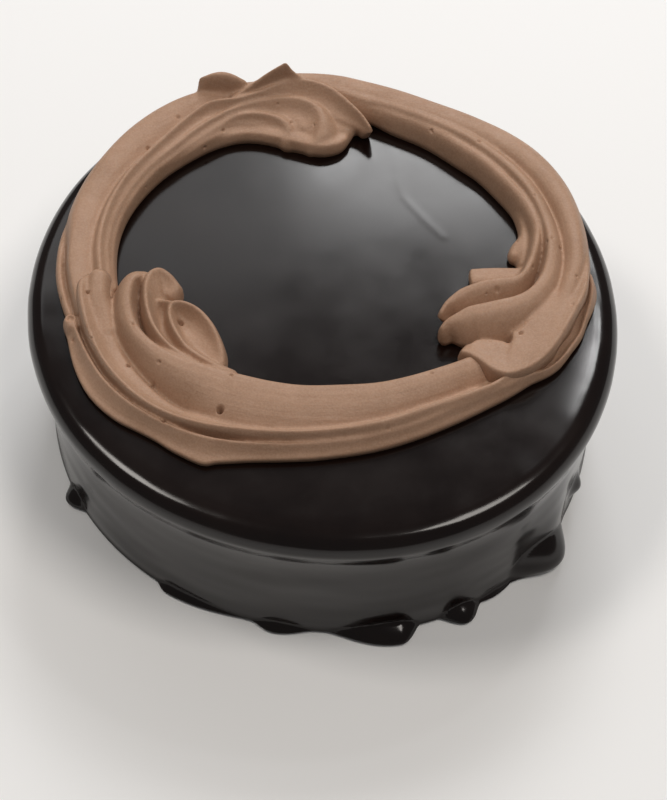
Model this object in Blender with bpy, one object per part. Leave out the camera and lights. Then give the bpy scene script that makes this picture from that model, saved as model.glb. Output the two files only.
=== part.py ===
# Round chocolate cake under a dark poured glaze, with three scrolls of piped chocolate cream laid
# end over end as a ring on its top.  The origin is the middle of the flat base, Z is up, and -Y is
# the side seen first.  Every size below is in millimetres and is turned into metres once, by MM.
import bmesh
import bpy
import math

MM = 0.001

# ---- the cake ------------------------------------------------------------------------------
TOP_Z = 63.2            # height of the level top of the glaze
WALL_R = 96.8           # radius of the upright wall under the overhanging rim
RIM_R = 100.0           # widest radius, half way round the rounded rim
RIM_SEGMENTS = 176      # facets round the cake
# how far the outline strays from a true circle: waves per turn, cosine and sine amounts
OUTLINE_WAVES = ((2, 1.17, -2.63), (3, -0.23, 0.12), (4, -0.70, 0.35))

# ---- the line the cream was piped along ------------------------------------------------------
RING_X, RING_Y = -1.0, 12.0      # middle of the ring; it sits towards the back of the cake
RING_A, RING_B = 80.0, 68.0      # half width and half depth of the ring line
GAP = 0.3                        # air left between neighbouring solids
CREAM_Z = TOP_Z + GAP            # the level underside of the cream
SINK = 3.0                       # ribs are made this much too deep, then trimmed level

ACROSS = 5              # facets on each flank of a rib of cream
ALONG = 18              # stations along one rib of cream
WALL_POWER = 0.8        # less than 1 makes the rounded walls of a rib fuller
MOST_DIP = 0.6          # a rib's hollow face never sinks by more than this share of its height
DROP_STEP = 0.5         # how far out the wall below a hollow face reaches
DROP_KNEE = (0.7, 0.75)  # a place part way down that wall, as shares of its reach and its height
HEAD_START = 0.12       # a rib's first and last sections stand this share of its rounded ends inside
TAIL_START = 0.15       # them, so that neither comes to a point
STEP_ASIDE = 0.01       # how far along a rib its direction is measured from

# ---- the set drips ---------------------------------------------------------------------------
DROP_SEGMENTS = 12      # facets round a drip
DROP_ROWS = 6           # bands of facets from its lowest to its highest point
CUT_REACH = 200.0       # size of the blocks that trim the undersides level


def clear_scene():
    for item in list(bpy.data.objects):
        bpy.data.objects.remove(item, do_unlink=True)


def material(name, colour, rough):
    mat = bpy.data.materials.new(name)
    mat.use_nodes = True
    shader = mat.node_tree.nodes["Principled BSDF"]
    shader.inputs["Base Color"].default_value = colour
    shader.inputs["Roughness"].default_value = rough
    return mat


def mesh_object(name, verts, faces, mat):
    mesh = bpy.data.meshes.new(name)
    mesh.from_pydata([(x * MM, y * MM, z * MM) for x, y, z in verts], [], faces)
    mesh.update()
    item = bpy.data.objects.new(name, mesh)
    bpy.context.collection.objects.link(item)
    bm = bmesh.new()
    bm.from_mesh(mesh)
    bmesh.ops.remove_doubles(bm, verts=bm.verts, dist=0.00001)
    bmesh.ops.recalc_face_normals(bm, faces=bm.faces)
    bm.to_mesh(mesh)
    bm.free()
    mesh.materials.append(mat)
    return item


def loft(name, rings, mat):
    """A closed skin over equal rings of points, with a flat cap at each end."""
    n = len(rings[0])
    verts = [p for ring in rings for p in ring]
    faces = [tuple(range(n))[::-1]]
    for k in range(len(rings) - 1):
        for j in range(n):
            a = k * n + j
            b = k * n + (j + 1) % n
            faces.append((a, b, b + n, a + n))
    last = (len(rings) - 1) * n
    faces.append(tuple(range(last, last + n)))
    return mesh_object(name, verts, faces, mat)


def boolean(target, other, operation):
    """Apply one Boolean of another object, or of a whole collection of them, to the target."""
    mod = target.modifiers.new("join", "BOOLEAN")
    mod.operation = operation
    mod.solver = "MANIFOLD"
    if isinstance(other, bpy.types.Collection):
        mod.operand_type = "COLLECTION"
        mod.collection = other
        gone = list(other.objects)
    else:
        mod.object = other
        gone = [other]
    view = bpy.context.evaluated_depsgraph_get()
    mesh = bpy.data.meshes.new_from_object(target.evaluated_get(view))
    target.modifiers.clear()
    target.data = mesh
    for item in gone:
        bpy.data.objects.remove(item, do_unlink=True)
    if isinstance(other, bpy.types.Collection):
        bpy.data.collections.remove(other)


def gather(first, rest):
    """Union of a first object with the others."""
    group = bpy.data.collections.new("group")
    bpy.context.scene.collection.children.link(group)
    for item in rest:
        bpy.context.collection.objects.unlink(item)
        group.objects.link(item)
    boolean(first, group, "UNION")


def smooth_between(values, v):
    """Value at place v (0 to 1) on an even, smooth run through the given values."""
    n = len(values) - 1
    if n == 0:
        return values[0]
    place = min(max(v, 0.0), 1.0) * n
    k = min(int(place), n - 1)
    u = place - k
    p1 = values[k]
    p2 = values[k + 1]
    p0 = values[k - 1] if k > 0 else 2 * p1 - p2
    p3 = values[k + 2] if k + 2 <= n else 2 * p2 - p1
    m1 = (p2 - p0) / 2
    m2 = (p3 - p1) / 2
    u2 = u * u
    u3 = u2 * u
    return (2 * u3 - 3 * u2 + 1) * p1 + (u3 - 2 * u2 + u) * m1 + (3 * u2 - 2 * u3) * p2 + (u3 - u2) * m2


def lane_point(turn, offset):
    """Plan place at an angle round the ring line and a distance outwards from it."""
    t = math.radians(turn)
    nx = math.cos(t) / RING_A
    ny = math.sin(t) / RING_B
    size = math.hypot(nx, ny)
    x = RING_X + RING_A * math.cos(t) + offset * nx / size
    y = RING_Y + RING_B * math.sin(t) + offset * ny / size
    return x, y


def flank(width, height, dip, sharp):
    """One side of a rib from beside its crest to its foot, as (across, up) pairs.  Without a dip it
    is a rounded wall; with a dip it sinks by that much in a hollow curve and then drops."""
    pairs = []
    for j in range(1, ACROSS + 1):
        if dip is None:
            phi = math.pi / 2 * j / ACROSS
            pairs.append((width * math.sin(phi) ** sharp, height * max(math.cos(phi), 0.0) ** WALL_POWER))
            continue
        s = j / (ACROSS - 2)
        sunk = min(dip, MOST_DIP * height)
        if s <= 1.0:
            pairs.append((width * s, height - sunk * (1 - (1 - s) ** 2)))
        elif j < ACROSS:
            pairs.append((width + DROP_KNEE[0] * DROP_STEP, DROP_KNEE[1] * (height - sunk)))
        else:
            pairs.append((width + DROP_STEP, 0.0))
    return pairs


def rib(turn, lane, crest, inner, outer, tip=5.0, tail=6.0, lean=0.0, dip=(None, None),
        sharp=(1.2, 1.2), blunt=0.35, grow=0.0):
    """One ridge of piped cream, from its head to its tail.  turn: angles round the ring line that it
    passes; lane: how far outside the ring line its crest runs there; crest: its height above the
    cream's underside; inner and outer: its half widths; tip and tail: how long its rounded ends are;
    lean: how far the crest hangs outwards; dip, sharp: the shape of its flanks, inner then outer;
    blunt: 0 for a head as steep as a wall; grow: how much fatter than stated it is made."""
    def centre(v):
        return lane_point(smooth_between(turn, v), smooth_between(lane, v))

    places = [k / ALONG for k in range(ALONG + 1)]
    points = [centre(v) for v in places]
    run = [0.0]
    for a, b in zip(points, points[1:]):
        run.append(run[-1] + math.hypot(b[0] - a[0], b[1] - a[1]))
    rings = []
    for k, v in enumerate(places):
        a = centre(max(v - STEP_ASIDE, 0.0))
        b = centre(min(v + STEP_ASIDE, 1.0))
        dx = b[0] - a[0]
        dy = b[1] - a[1]
        size = math.hypot(dx, dy)
        ox = dy / size
        oy = -dx / size
        back = grow if k == 0 else 0.0
        x = points[k][0] + oy * back
        y = points[k][1] - ox * back
        head = min((run[k] + HEAD_START * tip) / tip, 1.0)
        foot = min((run[-1] - run[k] + TAIL_START * tail) / tail, 1.0)
        round_off = math.sqrt(1 - (1 - head) ** 2) * math.sqrt(1 - (1 - foot) ** 2)
        height = smooth_between(crest, v) * round_off ** blunt + grow
        wide_in = smooth_between(inner, v) * round_off + grow
        wide_out = smooth_between(outer, v) * round_off + grow
        sides = []
        for side, sign, width in ((0, -1, wide_in), (1, 1, wide_out)):
            pairs = flank(width, height, dip[side], sharp[side])
            sides.append([(sign * w, up) for w, up in pairs])
        section = sides[0][::-1] + [(0.0, height)] + sides[1]
        ring = []
        for across, up in section:
            across += lean * (up / height) ** 2 * round_off
            ring.append((x + ox * across, y + oy * across, CREAM_Z + up))
        for edge_point in (ring[-1], ring[0]):
            ring.append((edge_point[0], edge_point[1], CREAM_Z - SINK))
        rings.append(ring)
    return rings


# Each scroll is a handful of ribs that start apart as fingers and run together into a tail.
FRONT_RIBS = (
    # outermost finger, then the outer crest of the tail
    dict(turn=(186, 190, 197, 208, 222, 236, 252, 275, 300, 324),
         lane=(-3.5, -1, 2, 5.2, 8.5, 9.4, 6.4, 3.6, 2, 8),
         crest=(10, 10.8, 11.2, 10.8, 9.9, 9.4, 9.2, 9.2, 8.6, 4.5),
         inner=(6.5, 9.5, 11, 11, 10, 6.5, 5, 5, 5, 4),
         outer=(5, 4.2, 3.2, 2.6, 2.4, 2.4, 2.4, 2.6, 3.5, 3), dip=(2.4, None), tip=6),
    # broad finger, then the broad face and inner crest of the tail
    dict(turn=(190, 194, 202, 216, 232, 248, 275, 302, 325),
         lane=(-20, -17, -12, -7.7, -9, -11.5, -11, -8.8, -5),
         crest=(10.5, 12.2, 12.6, 12.4, 12, 11.2, 10.6, 9, 4), inner=(4.5, 4, 3.4, 3, 3, 3, 3, 3, 3),
         outer=(5.5, 7, 7, 6.5, 10, 14, 12, 10, 8), dip=(None, 2.8), lean=-0.8, tip=6),
    # spoon-shaped finger
    dict(turn=(192, 195.5, 202, 210, 222, 238), lane=(-26.5, -21.5, -18.4, -15.6, -12.2, -11.2),
         crest=(9.5, 11.4, 12, 12, 11.4, 10), inner=(5, 9, 10, 7, 4, 3), outer=(3.5, 3, 2.6, 2.6, 2.6, 2.6),
         dip=(4, None), tip=6),
    # innermost finger, a round bowl
    dict(turn=(210, 213, 218, 225, 233, 243), lane=(-25.5, -22.5, -19.3, -16.7, -14.8, -13.5),
         crest=(9.5, 10.4, 10.4, 10.1, 9.8, 8.5), inner=(4.5, 7.5, 11, 13.5, 11, 4),
         outer=(4, 3, 2.6, 2.6, 2.6, 2.6), dip=(4.4, None), tip=5),
    # outer band; it comes out again below the next head
    dict(turn=(198, 208, 221, 235, 246, 259, 280, 303, 322, 336, 352),
         lane=(7.4, 8.6, 10.5, 11.2, 11.2, 8.7, 6.2, 5.4, 10.5, 13.5, 13),
         crest=(6, 7, 7, 7, 7, 6.4, 6, 6.2, 5.8, 5.4, 6), inner=(3, 5, 6, 6, 6, 5, 4, 4, 4, 4, 3),
         outer=(3, 4.5, 7, 6, 7.8, 4.2, 3.4, 2.6, 2, 2, 2.4), sharp=(1.2, 1.0), tip=4, tail=5),
    # round end of the band
    dict(turn=(195.5, 200, 207), lane=(7.2, 7.6, 9), crest=(6.5, 7, 6), inner=(3, 3.5, 3), outer=(3, 3, 3),
         sharp=(1, 1), tip=3),
)
RIGHT_RIBS = (
    # upper finger, then the inner side of the tail
    dict(turn=(-41, -35, -27, -20, -15.5, -10, 2, 20, 45, 68, 88),
         lane=(-27.8, -28.1, -26, -21.5, -14, -9, -5.5, -4.1, -4.2, -1, 5.5),
         crest=(7.5, 9.2, 10, 10.2, 10.2, 10.2, 10.1, 9.8, 9.1, 8.4, 7),
         inner=(2.2, 2.4, 2.6, 2.6, 2.6, 3.5, 6, 5, 4, 4, 4.5),
         outer=(2.5, 4, 5, 5, 4, 3, 2.4, 3, 3.5, 3.5, 3.5), dip=(None, 4), tip=5),
    # broad middle finger
    dict(turn=(-46, -41, -34, -28, -22.5, -16, -5, 15, 42, 65, 88),
         lane=(-22.8, -22, -19.2, -14, -8.3, -4.2, -2, -1.4, -1.1, 0.4, 8),
         crest=(8, 10, 11.4, 11.9, 11.9, 11.9, 11.8, 11.4, 10.5, 9.8, 8),
         inner=(2.5, 3, 3, 3, 3, 3, 3, 3, 3.4, 3.5, 3.5),
         outer=(3, 6.5, 10, 11.5, 11, 9, 6.5, 5.5, 5, 5, 4), dip=(None, 4), tip=6),
    # lip and shallow face of the lowest finger, then the outer body of the tail
    dict(turn=(-48, -46.5, -43.5, -37, -26, -10, 5, 22, 42, 60, 78, 97),
         lane=(-11.5, -4, 5.5, 9.8, 10.4, 9.5, 8, 7.4, 5.3, 3.7, 7.2, 13),
         crest=(7.5, 8.6, 9.3, 10, 10.8, 11, 11.2, 10.8, 10.3, 10, 9.5, 9),
         inner=(4, 10, 15, 16, 12, 9, 8, 7, 7, 7, 8, 9),
         outer=(2.5, 2.2, 2, 1.6, 1.8, 2.8, 5.4, 7.5, 9, 9, 8.4, 4), dip=(2.2, None), lean=0.8, tip=5),
    # short flat flap with a square end
    dict(turn=(-13.6, -11.4, -9), lane=(-27.5, -20, -9), crest=(5, 5.2, 5.5), inner=(4.8, 4.8, 4.5),
         outer=(3.6, 4, 4), sharp=(1, 1), tip=1.5, tail=3),
    # small lobe on the inner edge
    dict(turn=(1.5, 4.5, 8), lane=(-12.5, -11, -7.5), crest=(4.8, 5.4, 5.6), inner=(3.2, 3.6, 4),
         outer=(4, 5, 5), sharp=(1, 1), tip=3, tail=3),
)
BACK_RIBS = (
    # outer finger with a wide hollow face, then the sharp crest of the tail
    dict(turn=(75.5, 80, 86, 93, 100, 108, 116, 128, 150, 175, 200),
         lane=(-8.5, -3, 3.8, 8, 6.8, 4.8, 6.4, 1.6, -2.8, -5.7, -5),
         crest=(8.5, 10.8, 12, 12.2, 11.9, 11.2, 10.9, 10.9, 10.6, 9.9, 8),
         inner=(3, 7, 10.5, 11, 9, 5.5, 5, 4.5, 4.5, 4, 4), outer=(2.5, 2.6, 3, 3, 3, 3, 3, 3, 3.8, 5, 5),
         dip=(3.6, None), tip=4),
    # middle finger, hooked, with a bowl in its hook
    dict(turn=(90.5, 88.6, 89.5, 94, 102, 112, 125, 145, 170, 200),
         lane=(-15.5, -10, -4, 1.1, 2.5, 1.8, -1.9, -5.2, -7.5, -8),
         crest=(5, 8, 9.3, 9.8, 9.6, 9.3, 8.8, 8, 7.4, 6), inner=(3.5, 7, 9.5, 9.5, 8, 6, 4.5, 3.6, 3.2, 3),
         outer=(6, 8, 6, 3.4, 3, 3, 3, 3, 3, 3), dip=(2.8, None), tip=4),
    # rolled inner edge and the low body under the head
    dict(turn=(81, 84.5, 90, 97, 105, 114, 128), lane=(-11.5, -14.2, -15, -12, -7, -4, -3.5),
         crest=(4.6, 5.2, 5.6, 5.3, 5, 4.9, 5), inner=(3.5, 3.8, 4, 3.8, 3.4, 3, 3.4),
         outer=(7, 11, 13, 11, 7, 5, 4), sharp=(1, 1), tip=5),
    # small inner spoon
    dict(turn=(98.3, 98.8, 102, 109, 116, 128), lane=(-11, -7.5, -3.8, -0.9, -2.1, -5),
         crest=(5.2, 6.8, 7.8, 8.1, 7.5, 5.5), inner=(4, 5.5, 6, 5.5, 4, 3), outer=(5, 5, 4, 3.6, 3.6, 3.4),
         tip=3),
    # outer body of the tail
    dict(turn=(100, 112, 126, 143, 160, 178, 200), lane=(11.5, 12.3, 11.5, 8.5, 5.6, 3.8, 3),
         crest=(8, 8.7, 8.8, 8.8, 8.8, 8.6, 7.5), inner=(8, 9, 9, 9, 9, 8, 7),
         outer=(4, 6.2, 7.6, 6.6, 6.2, 6, 5.5), sharp=(1.1, 1.1), tip=5),
    # thin flap that stands up behind
    dict(turn=(92.5, 94, 96.5, 101, 106, 112), lane=(9, 9.6, 10.3, 9, 7.6, 6),
         crest=(11, 14.5, 19, 16, 12.6, 9), inner=(3, 3.5, 3.5, 3.5, 3, 3),
         outer=(2.4, 2.6, 2.6, 2.6, 2.4, 2.4), tip=2, blunt=0.6),
    # small knob behind
    dict(turn=(116, 113.5, 110, 106.5), lane=(15.6, 14.8, 12.8, 10.6), crest=(11.5, 15, 15.6, 12),
         inner=(3, 3.8, 4, 4), outer=(2.4, 3, 3.4, 3), sharp=(1, 1), tip=2.5, tail=3),
)


def scroll(name, ribs, mat, grow=0.0):
    """One scroll of cream as the union of its ribs, all fatter by grow; its tail is still uncut."""
    parts = []
    for k, spec in enumerate(ribs):
        parts.append(loft(f"{name}_rib_{k}", rib(grow=grow, **spec), mat))
    first = parts[0]
    first.name = name
    gather(first, parts[1:])
    return first


def level_block(name, level, mat):
    """A block under a level, that trims the underside of a solid flat."""
    side = CUT_REACH
    corners = ((-side, -side), (side, -side), (side, side), (-side, side))
    rings = [[(x, y, z) for x, y in corners] for z in (level - CUT_REACH, level)]
    return loft(name, rings, mat)


def largest_piece(item):
    """Keep only the biggest closed shell of a mesh."""
    bm = bmesh.new()
    bm.from_mesh(item.data)
    left = set(bm.verts)
    best = set()
    while left:
        seed = left.pop()
        shell = {seed}
        edge = [seed]
        while edge:
            vert = edge.pop()
            for link in vert.link_edges:
                other = link.other_vert(vert)
                if other not in shell:
                    shell.add(other)
                    edge.append(other)
        left -= shell
        if len(shell) > len(best):
            best = shell
    bmesh.ops.delete(bm, geom=[v for v in bm.verts if v not in best], context="VERTS")
    bm.to_mesh(item.data)
    bm.free()


def smooth(item):
    for poly in item.data.polygons:
        poly.use_smooth = True


def outline(angle):
    """How far the cake's outline strays outwards at an angle in degrees."""
    return sum(c * math.cos(math.radians(n * angle)) + s * math.sin(math.radians(n * angle))
               for n, c, s in OUTLINE_WAVES)


def cake_body(mat):
    """The glazed cake turned about Z: flat base, upright wall, overhanging rounded rim, level top."""
    profile = (
        (WALL_R - 1.0, 0.0),
        (WALL_R + 0.4, 1.2),
        (WALL_R, 4.0),
        (WALL_R - 0.2, 20.0),
        (WALL_R + 0.2, 36.0),
        (WALL_R + 0.5, 43.0),
        (WALL_R + 1.3, 48.3),
        (RIM_R - 0.8, 52.2),
        (RIM_R, 56.0),
        (RIM_R - 0.6, 59.2),
        (RIM_R - 2.6, 61.8),
        (RIM_R - 5.2, 62.9),
        (RIM_R - 9.0, TOP_Z),
    )
    rings = []
    for radius, z in profile:
        ring = []
        for k in range(RIM_SEGMENTS):
            angle = 360.0 * k / RIM_SEGMENTS
            r = radius + outline(angle)
            a = math.radians(angle)
            ring.append((r * math.cos(a), r * math.sin(a), z))
        rings.append(ring)
    return loft("glazed_cake", rings, mat)


def drop(name, angle, out, along, deep, low, high, mat):
    """A bead of set glaze on the wall: an egg whose middle is a stated distance outside the wall."""
    mid_r = WALL_R + outline(angle) + out
    a = math.radians(angle)
    verts = []
    faces = []
    for j in range(1, DROP_ROWS):
        lat = math.pi * (j / DROP_ROWS - 0.5)
        for k in range(DROP_SEGMENTS):
            lon = 2 * math.pi * k / DROP_SEGMENTS
            r = mid_r + deep * math.cos(lat) * math.cos(lon)
            side = along * math.cos(lat) * math.sin(lon)
            z = (low + high) / 2 + (high - low) / 2 * math.sin(lat)
            verts.append((r * math.cos(a) - side * math.sin(a), r * math.sin(a) + side * math.cos(a), z))
    for j in range(DROP_ROWS - 2):
        for k in range(DROP_SEGMENTS):
            p = j * DROP_SEGMENTS + k
            q = j * DROP_SEGMENTS + (k + 1) % DROP_SEGMENTS
            faces.append((p, q, q + DROP_SEGMENTS, p + DROP_SEGMENTS))
    bottom = len(verts)
    top_row = (DROP_ROWS - 2) * DROP_SEGMENTS
    verts.append((mid_r * math.cos(a), mid_r * math.sin(a), low))
    verts.append((mid_r * math.cos(a), mid_r * math.sin(a), high))
    for k in range(DROP_SEGMENTS):
        q = (k + 1) % DROP_SEGMENTS
        faces.append((bottom, q, k))
        faces.append((bottom + 1, top_row + k, top_row + q))
    return mesh_object(name, verts, faces, mat)


# set drips of glaze: angle, middle outside the wall, half width, depth, lowest and highest points
DRIPS = (
    (283.5, 0.2, 6.0, 5.8, -4.0, 5.4),      # left bead at the foot
    (278.0, -1.5, 9.0, 4.6, -3.0, 4.2),     # its long tail
    (297.2, 0.3, 5.2, 4.9, -4.0, 5.2),      # right bead at the foot
    (317.2, -1.0, 12.0, 7.8, -6.0, 13.0),   # large pool at the foot
    (319.0, -1.8, 11.0, 4.0, -8.0, 46.0),   # the drip that fed it
    (333.0, -1.8, 4.0, 3.4, 3.0, 18.0),     # small knob beside it
    (304.5, -2.0, 7.0, 3.3, -1.5, 3.5),
    (259.5, -2.0, 8.0, 4.6, -1.5, 3.6),
    (241.0, -2.0, 15.0, 4.0, -1.5, 3.4),
    (204.5, -1.0, 5.0, 4.8, -2.0, 5.0),
)


def build():
    clear_scene()
    glaze = material("dark chocolate glaze", (0.012, 0.005, 0.003, 1.0), 0.12)
    cream = material("whipped chocolate cream", (0.40, 0.26, 0.18, 1.0), 0.6)
    cake = cake_body(glaze)
    gather(cake, [drop(f"drip_{k}", *spec, glaze) for k, spec in enumerate(DRIPS)])
    boolean(cake, level_block("under_cake", 0.0, glaze), "DIFFERENCE")
    front = scroll("cream_scroll_front", FRONT_RIBS, cream)
    right = scroll("cream_scroll_right", RIGHT_RIBS, cream)
    back = scroll("cream_scroll_back", BACK_RIBS, cream)
    # each head lies over the tail of the scroll before it, so each tail is cut back by the head
    boolean(back, scroll("cut_front", FRONT_RIBS, cream, GAP), "DIFFERENCE")
    boolean(front, scroll("cut_right", RIGHT_RIBS, cream, GAP), "DIFFERENCE")
    boolean(right, scroll("cut_back", BACK_RIBS, cream, GAP), "DIFFERENCE")
    for item in (front, right, back):
        boolean(item, level_block("under_cream", CREAM_Z, cream), "DIFFERENCE")
        largest_piece(item)
        smooth(item)
    smooth(cake)


build()
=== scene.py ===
# The looks of a round chocolate cake: a dark glaze poured over it and set with a rounded rim and beads
# at its foot, and three scrolls of whipped chocolate cream piped with a star tip as a ring on its top.
# Lengths are in millimetres and become metres by MM.  Angles are in degrees.
import bmesh
import bpy
import math
import numpy as np
from mathutils import Matrix, Vector


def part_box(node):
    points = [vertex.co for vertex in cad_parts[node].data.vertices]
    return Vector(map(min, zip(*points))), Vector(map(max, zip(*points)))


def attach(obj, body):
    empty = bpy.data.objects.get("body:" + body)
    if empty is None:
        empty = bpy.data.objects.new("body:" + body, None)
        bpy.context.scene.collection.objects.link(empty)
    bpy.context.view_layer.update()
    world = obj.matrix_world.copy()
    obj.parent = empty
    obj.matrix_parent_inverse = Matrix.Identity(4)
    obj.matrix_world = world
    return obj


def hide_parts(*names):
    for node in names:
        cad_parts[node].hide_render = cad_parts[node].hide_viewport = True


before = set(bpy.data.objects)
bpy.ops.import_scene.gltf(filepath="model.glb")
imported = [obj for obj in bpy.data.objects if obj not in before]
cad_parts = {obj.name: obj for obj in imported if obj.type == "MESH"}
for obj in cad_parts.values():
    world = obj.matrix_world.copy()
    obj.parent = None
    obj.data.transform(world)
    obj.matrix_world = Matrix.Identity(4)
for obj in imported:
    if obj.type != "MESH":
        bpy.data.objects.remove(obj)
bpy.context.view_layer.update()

MM = 0.001

# ---- places taken from the solids ------------------------------------------------------------
TOP_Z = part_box("glazed_cake")[1].z / MM          # level top of the glaze
RIM_R = 100.0                                    # widest radius, half way round the rounded rim
WALL_R = RIM_R - 3.2                             # upright wall under the overhanging rim
CONTACT = 0.05                                   # air between the cream and the glaze it lies on
# how far the outline strays from a true circle: waves per turn, cosine and sine amounts
OUTLINE_WAVES = ((2, 1.17, -2.63), (3, -0.23, 0.12), (4, -0.70, 0.35))

# ---- the line the cream was piped along -------------------------------------------------------
RING_X, RING_Y = -1.0, 12.0      # middle of the ring; it sits towards the back of the cake
RING_A, RING_B = 80.0, 68.0      # half width and half depth of the ring line
CREAM_Z = TOP_Z + CONTACT
SINK = 3.0                       # scrolls are made this much too deep, then trimmed level
CUT_GAP = 0.06                   # air left where a head lies over the tail before it
GRID = 0.34                      # spacing of the places where the cream's height is worked out
ALONG = 90                       # short straight steps that a ridge's line is taken in
CREST_ROUND = 0.3                # how softly every crest is rounded over
FILLET = 0.7                     # how much two ridges run into each other
EASE_ROUNDS = 2                  # rounds of easing of the heights
SETTLING = 0.5                   # how far crests sink while they are softened, made up for beforehand
ROUGH_DEPTH = 1.5                # scrolls are worked on this far below the glaze, then trimmed level
SOFT_ROUNDS = 5                  # rounds of softening, and how much of it hollows and ridges get
SOFT_HOLLOW = 0.75
SOFT_RIDGE = 0.35
TUCK_HEIGHT = 3.0                # lower than this, the walls of a scroll roll under
TUCK_DEPTH = 1.1                 # how far they do
VOXEL = 0.40                     # grain of the skin that is laid over each scroll
FOOT_ANGLE = 60                  # edges sharper than this, as round the foot, are not shaded over
STREAK_WIDTH = 1.7               # streaks in the cream's skin: their spacing and their length
STREAK_LENGTH = 30.0
DRAG_DEPTH = 0.10                # fine lines that the teeth of the tip drag along the cream
DRAG_WAVES = (1.3, 1.9, 2.7, 4.1)    # their spacings
DRAG_DRIFT = (35, 90)            # how far they run before they sway back, and how much they sway
DRAG_SWING = (0.6, 1.4)
MARGIN = 14.0                    # room kept round the lines of a scroll
CUT_REACH = 150.0                # half width of the block that trims a scroll level
UPWARD = 0.3                     # bubbles only dent skin that faces upwards by more than this
BUBBLE_EDGE = 1.25               # how far a bubble's dent reaches, in its own radii
PINHOLE_EDGE = 1.3               # where a pinhole starts to sink and where it is deepest, likewise
PINHOLE_FLOOR = 0.3
MOTTLE_SIZE = 14.0               # size of the soft blotches of tone in the cream
FOAM_SIZE = 2.6                  # size of its soft lumps
GRAIN_SIZE = 0.7                 # its fine grain, drawn as coarse as it needs to show


# ---- small helpers ----------------------------------------------------------------------------
def linear(hex_colour):
    """An sRGB hex colour as linear red, green and blue with an alpha of 1."""
    parts = [int(hex_colour[i:i + 2], 16) / 255 for i in (1, 3, 5)]
    return tuple(c / 12.92 if c <= 0.04045 else ((c + 0.055) / 1.055) ** 2.4 for c in parts) + (1.0,)


def add(tree, kind, sockets=None, **settings):
    """Add a node with its settings; each entry of sockets is a value, or an output to link in."""
    item = tree.nodes.new(kind)
    for key, value in settings.items():
        setattr(item, key, value)
    for key, value in (sockets or {}).items():
        if isinstance(value, bpy.types.NodeSocket):
            tree.links.new(value, item.inputs[key])
        else:
            item.inputs[key].default_value = value
    return item


def mesh_object(name, verts, faces):
    """A mesh from points in millimetres, with its faces turned outwards."""
    mesh = bpy.data.meshes.new(name)
    mesh.from_pydata([(x * MM, y * MM, z * MM) for x, y, z in verts], [], faces)
    item = bpy.data.objects.new(name, mesh)
    bpy.context.scene.collection.objects.link(item)
    bm = bmesh.new()
    bm.from_mesh(mesh)
    bmesh.ops.recalc_face_normals(bm, faces=bm.faces)
    bm.to_mesh(mesh)
    bm.free()
    return item


def grid_faces(rows, columns, first=0, closed=True):
    """Quads between rows of points; a closed grid joins the last column to the first."""
    faces = []
    for k in range(rows - 1):
        for j in range(columns if closed else columns - 1):
            a = first + k * columns + j
            b = first + k * columns + (j + 1) % columns
            faces.append((a, b, b + columns, a + columns))
    return faces


def settle(item):
    """Turn an object's modifiers into plain mesh."""
    view = bpy.context.evaluated_depsgraph_get()
    mesh = bpy.data.meshes.new_from_object(item.evaluated_get(view))
    item.modifiers.clear()
    old = item.data
    item.data = mesh
    bpy.data.meshes.remove(old)


def run_through(values, v):
    """Even, smooth run through the given values at places v (an array, 0 to 1)."""
    values = np.asarray(values, float)
    last = len(values) - 1
    if last == 0:
        return np.full(np.shape(v), values[0])
    place = np.clip(v, 0.0, 1.0) * last
    k = np.minimum(place.astype(int), last - 1)
    u = place - k
    ends = np.concatenate(([2 * values[0] - values[1]], values, [2 * values[-1] - values[-2]]))
    p0, p1, p2, p3 = ends[k], ends[k + 1], ends[k + 2], ends[k + 3]
    m1 = (p2 - p0) / 2
    m2 = (p3 - p1) / 2
    u2 = u * u
    u3 = u2 * u
    return (2 * u3 - 3 * u2 + 1) * p1 + (u3 - 2 * u2 + u) * m1 + (3 * u2 - 2 * u3) * p2 + (u3 - u2) * m2


# ---- the piped cream ----------------------------------------------------------------------------
def lane_point(turn, offset):
    """Plan place at an angle round the ring line and a distance outwards from it."""
    t = np.radians(turn)
    nx = np.cos(t) / RING_A
    ny = np.sin(t) / RING_B
    size = np.hypot(nx, ny)
    x = RING_X + RING_A * np.cos(t) + offset * nx / size
    y = RING_Y + RING_B * np.sin(t) + offset * ny / size
    return x, y


def side_height(away, width, crest, floor, full, bend):
    """Height of one side of a ridge at a distance from its crest.  Without a floor the side rounds over
    and meets the glaze at its width; with one it sinks to it in a hollow, then drops to the glaze."""
    share = away / width
    if floor is None:
        return crest * (1 - share ** full)
    hollow = np.minimum(share / bend, 1.0)
    drop = np.maximum(share - bend, 0.0) / (1 - bend)
    level = np.minimum(floor, crest)
    return (level + (crest - level) * (1 - hollow) ** 2) * (1 - drop ** full)


def drag_lines(across, run, rng):
    """Fine lines along the cream, as heights between about -1 and 1."""
    total = np.zeros(np.shape(across))
    for wave in DRAG_WAVES:
        start = rng.uniform(0, 2 * math.pi)
        drift = rng.uniform(*DRAG_DRIFT)
        swing = rng.uniform(*DRAG_SWING)
        sway = swing * np.sin(run / drift * 2 * math.pi + start)
        total += np.sin(2 * math.pi * across / wave + start + sway)
    return total / len(DRAG_WAVES)


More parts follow.
